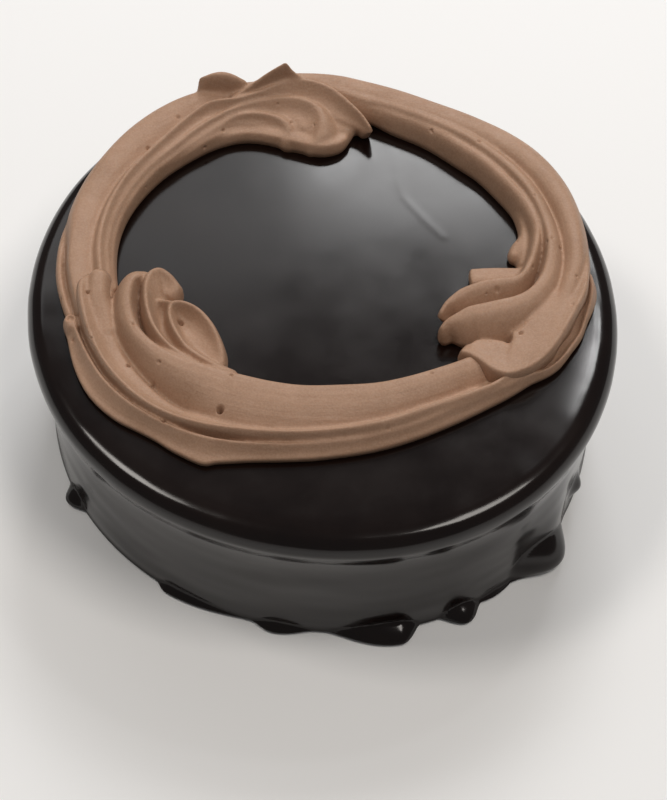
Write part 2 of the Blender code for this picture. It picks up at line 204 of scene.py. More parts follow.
def nearest_on_line(px, py, turn, lane):
    """For each plan place: its distance from a line, how far along the line that is (0 to 1), which
    side it lies on (1 left, -1 right, between past an end), how far it lies before the start, and
    how far along the line it is in millimetres."""
    v = np.linspace(0, 1, ALONG + 1)
    x, y = lane_point(run_through(turn, v), run_through(lane, v))
    nearest = np.full(px.shape, 1e9)
    along = np.zeros(px.shape)
    turned = np.zeros(px.shape)
    for k in range(ALONG):
        dx = x[k + 1] - x[k]
        dy = y[k + 1] - y[k]
        u = np.clip(((px - x[k]) * dx + (py - y[k]) * dy) / (dx * dx + dy * dy), 0, 1)
        ex = px - x[k] - u * dx
        ey = py - y[k] - u * dy
        away = ex * ex + ey * ey
        closer = away < nearest
        nearest = np.where(closer, away, nearest)
        along = np.where(closer, (k + u) / ALONG, along)
        turned = np.where(closer, (dx * ey - dy * ex) / math.hypot(dx, dy), turned)
    away = np.sqrt(nearest)
    length = math.hypot(x[1] - x[0], y[1] - y[0])
    before = ((x[0] - px) * (x[1] - x[0]) + (y[0] - py) * (y[1] - y[0])) / length
    run = np.sum(np.hypot(np.diff(x), np.diff(y))) * along
    return away, along, turned / np.maximum(away, 1e-6), np.where(along == 0, before, 0.0), run


def ridge(px, py, rng, turn, lane, crest, inner, outer, floor=(None, None), full=(2.2, 2.2),
          bend=0.6, nose=1.0):
    """Height of one ridge of piped cream over plan places.  turn: angles round the ring line that it
    passes; lane: how far outside the ring line its crest runs there; crest: its height above the
    cream's underside; inner and outer: its widths left and right of the way it was piped; floor: how
    high the hollow in each side lies; full: how plump each side is; bend: share of a side that is
    hollow; nose: below 1 for a square start."""
    away, along, side, before, run = nearest_on_line(px, py, turn, lane)
    away = np.sqrt(np.maximum(away ** 2 - before ** 2, 0) + (np.maximum(before, 0) / nose) ** 2)
    away = np.sqrt(away ** 2 + CREST_ROUND ** 2) - CREST_ROUND
    high = run_through(crest, along) + SETTLING
    low = [None if side_floor is None else run_through(side_floor, along) for side_floor in floor]
    left = side_height(away, run_through(inner, along), high, low[0], full[0], bend)
    right = side_height(away, run_through(outer, along), high, low[1], full[1], bend)
    share = (1 + side) / 2
    height = left * share + right * (1 - share)
    return height + DRAG_DEPTH * drag_lines(away * np.sign(side), run, rng) * np.clip(height / 2, 0, 1)


def run_into(one, other):
    """The higher of two heights, with a small fillet where they cross."""
    overlap = np.maximum(FILLET - np.abs(one - other), 0.0)
    return np.maximum(one, other) + overlap ** 2 / (4 * FILLET)


def eased(height):
    """Heights over the grid, each shared a little with its neighbours."""
    for axis in (0, 1):
        before = np.roll(height, 1, axis)
        after = np.roll(height, -1, axis)
        height = (before + 2 * height + after) / 4
    return height


# Each scroll is a handful of ridges that start apart as fingers and run together into a tail.
FRONT_RIDGES = (
    # edge and shallow face of the outermost finger, then the outer crest of the tail
    dict(turn=(186.9, 189.2, 193.1, 199.9, 207.8, 215.7, 222.7, 229.1, 236, 243.6, 252.3, 265.4, 275.3,
               284.4, 295.5, 306, 311.3, 315.9, 320.1, 323.4),
         lane=(-2, 0.4, 1.6, 3.1, 5.2, 7.2, 8.6, 9.4, 9.4, 8.2, 6.4, 4.6, 3.6, 2.9, 1.9, 3.2, 4.6, 5.4, 7.6,
               9.2),
         crest=(8, 9.8, 10.8, 11, 10.8, 10.2, 9.8, 9.3, 9.2, 9, 9, 9, 9, 9, 8.7, 8.3, 8, 7.8, 6.8, 5.4),
         inner=(6, 9, 10, 10.5, 10, 9.5, 9, 8, 6.5, 5.5, 4.5, 4.5, 4.5, 4.5, 4, 4, 4, 4, 3.5, 3),
         outer=(2.4, 2.6, 2.6, 2.1, 1.6, 1.4, 1.3, 1.2, 1.2, 1.5, 1.8, 2.1, 2.4, 3.4, 3.8, 3.6, 3, 3, 3,
                2.6),
         floor=((8, 8.4, 8, 7.5, 7.2, 7, 6.8, 6.6, 6.4, 6.2, 6.2, 6.2, 6.2, 6, 5.4, 4.4, 3.4, 3.2, 3.2,
                 3.2), None)),
    # rounded body of that finger
    dict(turn=(188.3, 191.7, 195.6, 200.2, 206), lane=(-5.1, -4.2, -3.3, -2.7, -1),
         crest=(10.4, 10.2, 9.8, 8.8, 7.6), inner=(5.5,), outer=(5.2,), full=(3, 3)),
    # the broad finger beside it, then the broad face and inner crest of the tail
    dict(turn=(192.2, 193.1, 194.7, 198, 201.9, 206.8, 212.3, 217.4, 222.9, 228.3, 233.8, 238.4, 248.2,
               256.6, 264.6, 275.1, 285.6, 293.9, 302.7, 312, 320, 330),
         lane=(-20.8, -18.4, -16, -13.9, -11.9, -9.9, -8.2, -7.6, -7.6, -8.4, -9.3, -10.4, -11.5, -11.4,
               -11.1, -11, -9.9, -9.4, -8.8, -7.5, -6, -4),
         crest=(9.6, 11.4, 12.2, 12.3, 12.2, 12.2, 12.2, 12.2, 12.2, 12, 11.7, 11.5, 11, 10.8, 10.6, 10.5,
                10.2, 9.8, 8.8, 7.1, 5.6, 4.4),
         inner=(2.3, 2.4, 2.6, 3, 3, 3, 3, 3, 3, 3, 3, 3, 3, 3, 3, 3, 3, 3, 3, 3, 3, 3),
         outer=(6, 7, 7.2, 7.2, 7.2, 7.2, 7.2, 7.4, 9, 11.5, 14, 17, 21, 22, 22, 19, 16, 14, 11.5, 9.5, 9,
                8)),
    # spoon-shaped finger
    dict(turn=(200.8, 195.2, 191.6, 193.3, 197.3, 202.3, 208.8, 216.5, 223.6, 230.1, 236.5, 243.7),
         lane=(-29.3, -28.2, -25.8, -22.7, -20.3, -18.3, -16, -13.5, -11.9, -11.5, -11.1, -11.7),
         crest=(7.4, 9, 10.6, 11.8, 12, 12, 12, 12, 11.7, 11.4, 11.2, 10.7),
         inner=(6, 7, 8, 10, 11, 10, 7, 4, 2.5, 2.5, 2.5, 2.5), outer=(3, 3, 3.2),
         floor=((7.2, 8, 8.6, 8.6, 8, 7, 5.5, 5, 7, 8, 8, 8), None)),
    # rim of the innermost finger, a round bowl
    dict(turn=(239.9, 238.1, 234.5, 229.3, 222.9, 217, 212.7, 211.8, 214.6, 218.7, 223.4, 228.2, 233.4, 239,
               245.2),
         lane=(-17.8, -21.1, -24.5, -27.3, -28.7, -28.1, -26, -23.5, -21.1, -19.1, -17.3, -15.6, -14.7, -14,
               -13.3), crest=(5.5, 6.6, 8, 9.2, 9.8, 10.2, 10.4, 10.4, 10.4, 10.3, 10.2, 10, 10, 10, 10),
         inner=(7, 8, 8, 8, 7.5, 7, 7, 7, 7, 6, 4, 3, 2.5, 2.5, 2.5), outer=(2, 2.2, 2.4, 2.6, 2.6),
         floor=((5.5, 5.5, 5.5, 5.5, 5.5, 5.5, 5.5, 5.5, 5.5, 5.5, 6, 7, 8, 8.5, 8.5), None)),
    # short ledge between the spoon and the bowl
    dict(turn=(206.2, 208.1, 211.7), lane=(-21, -22.7, -24.1), crest=(8.4, 9.2, 10.2), inner=(2.4,),
         outer=(5,), floor=(None, (5,))),
    # low cream between the fingers
    dict(turn=(200, 210, 222, 236), lane=(-18, -20, -19, -15), crest=(3.5, 4, 5, 5), inner=(7, 8, 8, 6),
         outer=(8, 9, 9, 8), full=(4, 4)),
    # outer band, sloping down to a thin edge; it comes out again below the next head
    dict(turn=(198, 203, 210, 218, 225.5, 231, 235.5, 240.5, 246.3, 249, 257, 270, 282, 292, 300, 307.7,
               313.1, 317.1, 320.4, 323.9, 329.6, 334.8, 339.3, 345.4, 350, 353),
         lane=(7.4, 7.6, 9, 10.8, 11.8, 12, 11.9, 11.8, 11.3, 10.8, 9, 7, 6.2, 5.4, 5, 5.8, 7.1, 8.4, 10.2,
               12.4, 14.2, 14.6, 14.6, 14.4, 13.8, 12.6),
         crest=(6, 6.2, 7, 7.2, 7.2, 7, 6.8, 6.8, 6.8, 6.6, 6.2, 6, 6, 6, 6.2, 6.2, 6.2, 6, 5.8, 5.4, 5.2,
                5.2, 5.4, 6.2, 7.4, 7.4),
         inner=(1.2, 1.2, 1.2, 1.2, 1.3, 1.3, 1.2, 1.2, 1.2, 1.2, 1.2, 1.4, 1.8, 2, 2, 2, 2, 1.8, 1.4, 1,
                0.8, 0.8, 0.8, 1.6, 2.6, 3),
         outer=(3, 3.9, 5.4, 6.4, 6, 5, 5.1, 6.4, 7.7, 6, 4.3, 3.8, 3.4, 3.2, 3.2, 2.8, 2.4, 2, 1.6, 1.5,
                1.2, 1.1, 1.2, 1.6, 1.8, 1.6), floor=(None, (3.4, 3, 2.8, 2.8, 2.8, 3.2, 3.2, 3, 3, 3, 3)),
         bend=0.85, full=(2, 3)),
    # round end of the band
    dict(turn=(198.3, 200), lane=(7.6, 7.9), crest=(6.4, 6.2), inner=(3,), outer=(3,), full=(3.5, 3.5)),
    # strip between the next head and the band
    dict(turn=(321, 324.5, 329, 333.8, 338.5, 343.1, 350), lane=(9.5, 10.4, 11.8, 12.2, 12.4, 12.2, 12),
         crest=(2.2, 2.4, 2.4, 2.4, 2.6, 3.2, 4.2), inner=(6,), outer=(2.4,), full=(5, 5)),
)
RIGHT_RIDGES = (
    # upper finger
    dict(turn=(-42, -38.3, -35, -29.1, -25, -20.1, -16.8, -14.8, -11.9, -6.4, 0.6, 7.7, 14.6, 22.4, 30,
               39.1, 48.4, 58.8, 69.2, 77.5, 88),
         lane=(-27.6, -28.2, -28.1, -27, -25, -21.5, -16.8, -12.7, -9.9, -7.9, -5.9, -4.1, -3.9, -4.3, -4.7,
               -4.3, -4.1, -2.2, -0.5, 1.8, 6.5),
         crest=(7.8, 8.8, 9.3, 9.8, 10.1, 10.2, 10.2, 10.2, 10.2, 10.2, 10.2, 10.1, 10, 9.8, 9.5, 9.2, 9,
                8.7, 8.4, 8.2, 8),
         inner=(1.6, 1.8, 2, 2.2, 2.2, 2.2, 2.2, 2.2, 2.4, 3, 3.6, 4.2, 4.5, 4.5, 4.5, 4.5, 4.5, 4.5, 4.5,
                4.5, 4.5),
         outer=(2.2, 3.4, 5, 7, 8, 8.5, 7.5, 6, 4.2, 3.4, 2.8, 2.4, 2.4, 2.6, 3.2, 3.5, 3.5, 3.5, 3.5, 3.5,
                3.5), full=(2.2, 1.9)),
    # broad middle finger
    dict(turn=(-46.9, -44.7, -42.3, -39.1, -35.2, -31, -27.1, -22.8, -18.4, -12.5, -6.3, 1.3, 9, 17.7, 26.8,
               33.7, 41.5, 48.6, 55, 62.5, 71, 78.9, 89),
         lane=(-22.7, -22.9, -22.4, -21.4, -20, -16.6, -13, -8.5, -5.3, -3.1, -2.1, -1.5, -1.6, -1.4, -1.2,
               -1.1, -1.1, -0.7, -0.5, 0.1, 1.6, 3.1, 8.7),
         crest=(8.2, 9.2, 10, 10.7, 11.3, 11.7, 11.9, 11.9, 11.9, 11.9, 11.9, 11.7, 11.5, 11.3, 11, 10.7,
                10.5, 10.3, 10.1, 9.9, 9.6, 9.4, 9.1),
         inner=(1.6, 1.8, 2, 2.2, 2.4, 2.4, 2.4, 2.4, 2.4, 2.6, 2.8, 2.6, 2.4, 2.6, 3, 3.4, 3.5, 3.5, 3.5,
                3.5, 3.5, 3.5, 3.5),
         outer=(3, 4.5, 6.5, 8.5, 10, 11, 11.2, 10.8, 9.6, 8.4, 7.4, 6.4, 6, 5.6, 5.4, 5, 5, 5, 5, 5, 5, 5,
                5), full=(2.2, 2.4)),
    # lip and shallow face of the lowest finger
    dict(turn=(-47.6, -46.8, -46.2, -46.1, -44.7, -41.7, -37.8, -31.9, -25.7, -20.2, -17, -13, -7.6, 0),
         lane=(-11.3, -8.8, -4.3, -0.1, 5, 8, 10, 10.8, 10.7, 11, 11.5, 11.8, 11.4, 10.8),
         crest=(7.4, 8, 8.5, 9, 9.2, 9.5, 10, 10.4, 10.9, 11.2, 11.2, 10.8, 9.8, 8),
         inner=(5, 10, 14, 16, 18, 19, 19, 17, 15, 13, 12, 10, 8, 6),
         outer=(1.4, 1.2, 1.2, 1.2, 1, 0.7, 0.6, 0.6, 0.6, 0.6, 0.7, 0.9, 1.2, 2),
         floor=((6.6, 7.2, 7.6, 7.8, 8, 8.2, 8.4, 8.8, 9.2, 9.5, 9.6, 9.4, 8.6, 7), None), bend=0.75),
    # outer body of the tail
    dict(turn=(-26, -19.1, -11.9, -3.8, 2.7, 11.9, 22, 32.3, 40.5, 49.4, 60.7, 70.3, 79.3, 86, 93.5, 98),
         lane=(4.5, 5.5, 6.6, 7.4, 7.4, 7.5, 7.3, 6.6, 5.5, 4.2, 3.7, 5.1, 7.4, 9.9, 12.5, 13.5),
         crest=(8, 9.6, 10.8, 11.4, 11.3, 11, 10.8, 10.5, 10.3, 10.2, 10, 9.8, 9.5, 9.4, 9.2, 9),
         inner=(7, 7, 7.5, 8, 8.5, 9),
         outer=(3.5, 4, 4.4, 5.2, 5.8, 6.6, 8.2, 9.4, 9.8, 9.8, 9.6, 9.4, 9, 8.2, 5, 4), full=(2.2, 2.4)),
    # inner edge of the tail
    dict(turn=(-2.7, 1.7, 7, 11.7, 18.9, 25.7, 33.6, 42.9, 53.6, 66.3, 74.6, 84),
         lane=(-10.6, -9.8, -8.8, -7.6, -6.8, -6.4, -6, -5.9, -5.2, -3.9, -2.1, 2),
         crest=(4.6, 5, 5.2, 5.4, 5.4, 5, 4.6, 4.2, 4, 3.8, 3.6, 3.4),
         inner=(2.2, 2.4, 2.4, 2.2, 2, 1.8, 1.7, 1.6, 1.6, 1.6, 1.6, 1.6), outer=(4,)),
    # short flat flap with a square end
    dict(turn=(-13.5, -11.6, -10.3, -9.4), lane=(-27.2, -22.6, -17.7, -11), crest=(4.4, 4.6, 4.8, 5.2),
         inner=(4.8,), outer=(3.6,), full=(6, 6), nose=0.2),
    # small lobe on the inner edge
    dict(turn=(2.1, 4.5, 6.8), lane=(-12.6, -11, -8.5), crest=(4.2, 4.8, 5.2), inner=(3, 3.4, 3.6),
         outer=(3, 3.4, 3.6), full=(3, 3)),
)
BACK_RIDGES = (
    # outer finger with a wide hollow face, then the sharp crest of the tail
    dict(turn=(74.7, 77.7, 81.6, 85.4, 88.9, 92.4, 96, 99.7, 103, 106.6, 110, 113.1, 116.1, 119, 122.3,
               129.6, 137.6, 146.7, 156, 165.2, 175.9, 185, 194.2),
         lane=(-9.6, -5.6, -1.2, 3.3, 6.1, 7.8, 8.1, 6.9, 5.6, 4.8, 4.8, 5.9, 6.5, 5.6, 4, 1.1, -1, -2.2,
               -3.6, -4.7, -5.7, -6.4, -5.5),
         crest=(8.8, 10.2, 11.2, 11.8, 12.2, 12.2, 12.2, 11.9, 11.6, 11.3, 11.1, 11, 10.9, 10.9, 10.9, 10.8,
                10.7, 10.6, 10.5, 10.2, 9.9, 9.5, 9),
         inner=(2.5, 4.5, 8, 10, 11, 11.5, 11.5, 10, 8, 6.5, 5.5, 5, 5, 5, 5, 4.5, 4.5, 4.5, 4.5, 4, 4, 4,
                4), outer=(2, 2.2, 2.6, 3, 3, 3, 3, 3, 3, 3, 3, 3, 3, 3, 3, 3, 3.2, 3.6, 4, 4.5, 5, 5, 5),
         floor=((5.5, 6.5, 7.2, 7.6, 7.8, 7.8, 7.6, 7.6, 7.6, 7.6, 7.6, 7.8, 8, 8.2, 8.4, 8.6, 8.6, 8.6,
                 8.4, 8.2, 8, 7.6, 7.2), None), full=(2.2, 1.8)),
    # middle finger, hooked, with a bowl in its hook
    dict(turn=(91.7, 90.1, 89, 88.6, 89.3, 91.2, 93.9, 97.2, 101.4, 106.6, 112, 117.9, 124.7, 132.3, 140.5,
               151, 162.2, 172.6, 181.6, 190.7),
         lane=(-15.6, -14.6, -12.3, -9, -4.5, -1.2, 1.1, 2.2, 2.5, 2.5, 1.8, 0.4, -1.8, -3.7, -4.7, -5.9,
               -6.8, -7.7, -8.3, -8.2),
         crest=(5, 6.4, 7.6, 8.6, 9.3, 9.8, 9.8, 9.8, 9.6, 9.5, 9.3, 9.1, 8.8, 8.5, 8.2, 8, 7.7, 7.4, 7,
                6.6), inner=(3, 5, 8, 10, 10, 10, 9.5, 9, 8, 7, 6, 5, 4, 3.5, 3, 3, 3, 3, 3, 3),
         outer=(3, 5, 8, 8, 6, 4, 3, 2.6, 2.4, 2.4, 2.4, 2.4, 3, 3, 3, 3, 3, 3, 3, 3),
         floor=((4.8, 5.4, 5.8, 6.2, 6.4, 6.4, 6.4, 6.4, 6.4, 6.4, 6.6, 6.8, 7, 7, 6.9, 6.8, 6.6, 6.4, 6.1,
                 5.8), None)),
    # small inner spoon
    dict(turn=(98.3, 98.4, 99.8, 102.3, 105.3, 108.6, 111.6, 115.3, 120.5, 126.2, 134, 144),
         lane=(-11.5, -8.5, -5.7, -3.6, -1.9, -0.9, -0.8, -1.9, -3.5, -4.8, -5.8, -6.2),
         crest=(5, 6.4, 7.4, 7.9, 8.1, 8.1, 7.9, 7.5, 7.2, 6.6, 5.6, 4),
         inner=(4, 5, 6, 6, 6, 5.5, 5, 4, 3, 2.4, 1.8, 1.4),
         outer=(5, 6, 5, 4, 3.6, 3.6, 3.6, 3.6, 3.6, 3.6, 3, 2),
         floor=((4.8, 5, 4.6, 4, 3.5, 3.4, 4, 5.8, 6.4, 5.8, 5, 3.6), None)),
    # rolled inner edge
    dict(turn=(81.5, 84, 88.9, 95.1, 100.9, 106.3, 111.7, 117, 122.3, 129.1, 136.8, 146.1, 156.1, 166.4,
               175.8, 185.6),
         lane=(-12.6, -15.6, -17, -14.8, -11.2, -7.7, -5.5, -4.9, -4.9, -5.3, -5.9, -6.7, -7.3, -8.1, -8.8,
               -8.8), crest=(4.4, 5, 5.4, 5.2, 5, 4.8, 4.8, 4.8, 4.8, 4.8, 4.8, 4.6, 4.4, 4.2, 4, 4),
         inner=(1.9,), outer=(5, 7, 8, 8, 7, 6, 6, 5, 5, 5, 5, 4, 4, 4, 4, 4), full=(2.4, 3)),
    # low body under the head
    dict(turn=(82, 90, 100, 110), lane=(-6, -6, -3, 0), crest=(5, 5.5, 5.5, 6), inner=(7, 9, 8, 6),
         outer=(7, 8, 10, 10), full=(3, 3)),
    # outer body of the tail
    dict(turn=(100, 110, 119.6, 126.5, 134.3, 143.6, 153.5, 164, 174.3, 181.8, 190.7, 198),
         lane=(11.5, 12.3, 12.3, 11.5, 10.2, 8.5, 6.6, 5.1, 3.9, 3.7, 3.2, 3.4),
         crest=(8, 8.6, 8.8, 8.8, 8.8, 8.8, 8.8, 8.8, 8.8, 8.6, 8.2, 7.6),
         inner=(8, 10, 12, 13.5, 13.5, 13.5, 13.5, 13.5, 13.5, 13.5, 13, 12),
         outer=(4, 5.5, 7, 7.6, 7.4, 6.5, 6.4, 5.6, 3.2, 2.4, 2.2, 2.2), full=(2.4, 2.4)),
    # thin strip outside it, and the low cream between
    dict(turn=(164, 170, 176.5, 182.9, 189.9, 196), lane=(9.2, 8.8, 8.4, 8.1, 7.4, 7),
         crest=(1.5, 3, 3.8, 4, 4, 4), inner=(1.8,), outer=(1.8,)),
    dict(turn=(168, 176, 184, 192, 198), lane=(6.8, 6.3, 5.8, 5.4, 5.2), crest=(1.5, 2, 2, 2, 2),
         inner=(2.5,), outer=(2.5,)),
    # thin flap that stands up behind
    dict(turn=(109.9, 105.6, 101.8, 98.3, 96.6, 95.6, 94.2, 92.6),
         lane=(6.4, 7.6, 8.8, 9.9, 10.3, 9.8, 9.3, 9),
         crest=(10.2, 12.8, 15.8, 18.2, 19.1, 16.4, 13.8, 11.8), inner=(3, 4, 5, 5.5, 5.5, 4.5, 3.5, 3),
         outer=(1.6,), floor=((9.5, 10, 10.4, 10.8, 11, 11, 11, 10.5), None), bend=0.8),
    # small knob behind, with a little horn
    dict(turn=(106.8, 108.9, 111, 113.1, 114.8, 115.7), lane=(10.8, 12, 13.5, 14.6, 15.3, 15.6),
         crest=(12.4, 14.8, 15.8, 15.4, 14, 12), inner=(3, 3.6, 3.8, 3.4, 2.8, 2),
         outer=(3, 3.4, 3.4, 3, 2.6, 2)),
    dict(turn=(113.1, 114.8, 116), lane=(14.6, 15.7, 16.5), crest=(15.2, 14.4, 13.4), inner=(1.8, 1.5, 1.1),
         outer=(1.8, 1.5, 1.1)),
)

# holes left by burst air bubbles: angle round the ring line, lane, radius and depth
BUBBLES = (
    (246.3, 0.8, 1.15, 3.8), (235.8, 11.4, 0.7, 1.8), (219.4, 1.4, 0.7, 1.8), (227.4, 0.9, 0.8, 1.2),
    (193.7, -0.5, 0.7, 1.6), (284.7, 5.1, 0.7, 0.6), (136.1, 2.4, 0.9, 1.1), (124.5, 7.3, 0.7, 0.8),
    (359.3, 2.0, 0.7, 1.0), (349.7, 7.8, 0.5, 0.8), (327.8, -1.6, 0.8, 1.1), (339.2, -16.6, 0.9, 0.8),
    (218.2, -22.6, 1.1, 2.4), (198.3, 7.6, 1.5, 1.6), (203.5, 9.6, 0.7, 0.8),
)
# finger tips and lips that hang over: angle and lane of the tip, angle and lane that its underside is
# drawn back to, how far round it this reaches, and the height that it starts from
OVERHANGS = (
    (-41, -28, -35.5, -26.5, 6, 5.5),
    (75, -9, 78, -4, 5, 6.5),
    (-37, 9.5, -37, 7.8, 6, 8),
    (-28, 10.8, -28, 8.8, 6, 8),
    (-18, 11.5, -18, 9.8, 6, 8),
    (199, -29, 199, -27.5, 6, 5),
    (228, -27, 228, -25.5, 6, 5),
)


def scroll_heights(ridges, seed):
    """Plan places on an even grid round a scroll, and the scroll's height over the glaze there."""
    rng = np.random.default_rng(seed)
    turns = np.concatenate([spec["turn"] for spec in ridges])
    lanes = np.concatenate([spec["lane"] for spec in ridges])
    x, y = lane_point(turns, lanes)
    px, py = np.meshgrid(np.arange(x.min() - MARGIN, x.max() + MARGIN, GRID),
                         np.arange(y.min() - MARGIN, y.max() + MARGIN, GRID))
    height = np.full(px.shape, -SINK)
    for spec in ridges:
        x, y = lane_point(run_through(spec["turn"], np.linspace(0, 1, ALONG)),
                          run_through(spec["lane"], np.linspace(0, 1, ALONG)))
        reach = max(max(spec["inner"]), max(spec["outer"])) + 1
        rows = (py[:, 0] > y.min() - reach) & (py[:, 0] < y.max() + reach)
        columns = (px[0] > x.min() - reach) & (px[0] < x.max() + reach)
        block = np.ix_(rows, columns)
        height[block] = run_into(height[block], ridge(px[block], py[block], rng, **spec))
    for _ in range(EASE_ROUNDS):
        height = eased(height)
    return px, py, height


def scroll(name, ridges, seed):
    """A closed block whose upper side is a scroll; it reaches below the glaze, to be trimmed level."""
    px, py, height = scroll_heights(ridges, seed)
    rows, columns = px.shape
    top = list(zip(px.ravel(), py.ravel(), CREAM_Z + height.ravel()))
    faces = grid_faces(rows, columns, closed=False)
    edge = list(range(columns))
    edge += [k * columns + columns - 1 for k in range(1, rows)]
    edge += [(rows - 1) * columns + j for j in range(columns - 2, -1, -1)]
    edge += [k * columns for k in range(rows - 2, 0, -1)]
    low = [(top[j][0], top[j][1], CREAM_Z - 2 * SINK) for j in edge]
    first = len(top)
    count = len(edge)
    for k in range(count):
        after = (k + 1) % count
        faces.append((edge[k], edge[after], first + after, first + k))
    faces.append(tuple(range(first, first + count)))
    return mesh_object(name, top + low, faces)


def cut_away(item, other):
    """Take another object's room out of a scroll, and remove that object."""
    mod = item.modifiers.new("cut", "BOOLEAN")
    mod.operation = "DIFFERENCE"
    mod.solver = "MANIFOLD"
    mod.object = other
    settle(item)
    bpy.data.objects.remove(other, do_unlink=True)


def level_cut(item, level):
    """Trim a scroll level at a height."""
    reach = CUT_REACH
    ring = [(-reach, -reach), (reach, -reach), (reach, reach), (-reach, reach)]
    verts = [(x, y, z) for z in (CREAM_Z - 4 * SINK, level) for x, y in ring]
    faces = [(0, 1, 2, 3), (4, 5, 6, 7), (0, 1, 5, 4), (1, 2, 6, 5), (2, 3, 7, 6), (3, 0, 4, 7)]
    cut_away(item, mesh_object("under_cream", verts, faces))


def largest_piece(item):
    """Keep only the biggest closed shell of a mesh."""
    bm = bmesh.new()
    bm.from_mesh(item.data)
    left = set(bm.verts)
    best = set()
    while left:
        seed = left.pop()
        shell = {seed}
        edge = [seed]
        while edge:
            vert = edge.pop()
            for link in vert.link_edges:
                other = link.other_vert(vert)
                if other not in shell:
                    shell.add(other)
                    edge.append(other)
        left -= shell
        if len(shell) > len(best):
            best = shell
    bmesh.ops.delete(bm, geom=[v for v in bm.verts if v not in best], context="VERTS")
    bm.to_mesh(item.data)
    bm.free()


def run_together(item):
    """Give a scroll one even skin, so that its ribs run into each other as soft cream does."""
    mod = item.modifiers.new("skin", "REMESH")
    mod.mode = "VOXEL"
    mod.voxel_size = VOXEL * MM
    mod.adaptivity = 0.0
    settle(item)
    largest_piece(item)


def points_of(mesh):
    """All points of a mesh, a row for each."""
    co = np.empty(len(mesh.vertices) * 3)
    mesh.vertices.foreach_get("co", co)
    return co.reshape(-1, 3)


def set_points(mesh, co):
    """Move all points of a mesh."""
    mesh.vertices.foreach_set("co", co.ravel())
    mesh.update()


def normals_of(mesh):
    """The way that the skin faces at each point, a row for each."""
    normal = np.empty(len(mesh.vertices) * 3)
    mesh.vertices.foreach_get("normal", normal)
    return normal.reshape(-1, 3)


def soften(item, rounds, hollow, ridge):
    """Ease a skin: hollows by one amount and ridges by another, so that crests stay crisp."""
    mesh = item.data
    count = len(mesh.vertices)
    ends = np.empty(len(mesh.edges) * 2, int)
    mesh.edges.foreach_get("vertices", ends)
    a, b = ends.reshape(-1, 2).T
    degree = np.bincount(ends, minlength=count)[:, None]
    co = points_of(mesh)
    for _ in range(rounds):
        normal = normals_of(mesh)
        total = [np.bincount(a, co[b, i], count) + np.bincount(b, co[a, i], count) for i in range(3)]
        pull = np.stack(total, 1) / degree - co
        rising = np.sum(pull * normal, axis=1) > 0
        co = co + np.where(rising, hollow, ridge)[:, None] * pull
        set_points(mesh, co)


def tuck_under(item):
    """Roll the foot of every wall under, and draw back the underside of the named overhanging tips."""
    co = points_of(item.data)
    level_normal = normals_of(item.data)[:, :2]
    steep = np.hypot(level_normal[:, 0], level_normal[:, 1])
    above = np.maximum(co[:, 2] / MM - CREAM_Z, 0.0)
    low = np.clip(1 - above / TUCK_HEIGHT, 0.0, 1.0) ** 2
    slide = -TUCK_DEPTH * (low * steep)[:, None] * level_normal
    for turn, lane, to_turn, to_lane, reach, top in OVERHANGS:
        x, y = lane_point(turn, lane)
        to_x, to_y = lane_point(to_turn, to_lane)
        away = np.hypot(co[:, 0] / MM - x, co[:, 1] / MM - y) / reach
        share = np.exp(-away ** 2) * np.clip(1 - above / top, 0.0, 1.0)
        slide = slide + share[:, None] * np.array((to_x - x, to_y - y))
    co[:, :2] += slide * MM
    set_points(item.data, co)


def burst_bubbles(item):
    """Press the named bubble holes into the upper side of a scroll."""
    co = points_of(item.data)
    upward = normals_of(item.data)[:, 2] > UPWARD
    for turn, lane, radius, depth in BUBBLES:
        x, y = lane_point(turn, lane)
        away = np.hypot(co[:, 0] / MM - x, co[:, 1] / MM - y) / radius
        dent = np.clip(BUBBLE_EDGE - away, 0.0, 1.0)
        dent = dent * dent * (3 - 2 * dent)
        co[:, 2] -= depth * MM * dent * upward
    set_points(item.data, co)


def geometry_tree(name, values):
    """A geometry tree that takes a skin, the given named values and a material, and gives a skin; and
    the outputs that carry what it takes."""
    tree = bpy.data.node_groups.new(name, "GeometryNodeTree")
    tree.interface.new_socket(name="Skin", in_out="INPUT", socket_type="NodeSocketGeometry")
    for title, value in values.items():
        kind = "NodeSocketInt" if isinstance(value, int) else "NodeSocketFloat"
        tree.interface.new_socket(name=title, in_out="INPUT", socket_type=kind).default_value = value
    tree.interface.new_socket(name="Material", in_out="INPUT", socket_type="NodeSocketMaterial")
    tree.interface.new_socket(name="Skin", in_out="OUTPUT", socket_type="NodeSocketGeometry")
    return tree, add(tree, "NodeGroupInput").outputs


def move_along_normal(tree, given, distance):
    """The end of a geometry tree: move its skin along its normal and give it its material."""
    normal = add(tree, "GeometryNodeInputNormal")
    move = add(tree, "ShaderNodeVectorMath", {0: normal.outputs[0], "Scale": distance}, operation="SCALE")
    moved = add(tree, "GeometryNodeSetPosition", {"Geometry": given["Skin"], "Offset": move.outputs[0]})
    real = add(tree, "GeometryNodeRealizeInstances", {"Geometry": moved.outputs[0]})
    dressed = add(tree, "GeometryNodeSetMaterial",
                  {"Geometry": real.outputs[0], "Material": given["Material"]})
    add(tree, "NodeGroupOutput", {0: dressed.outputs[0]})


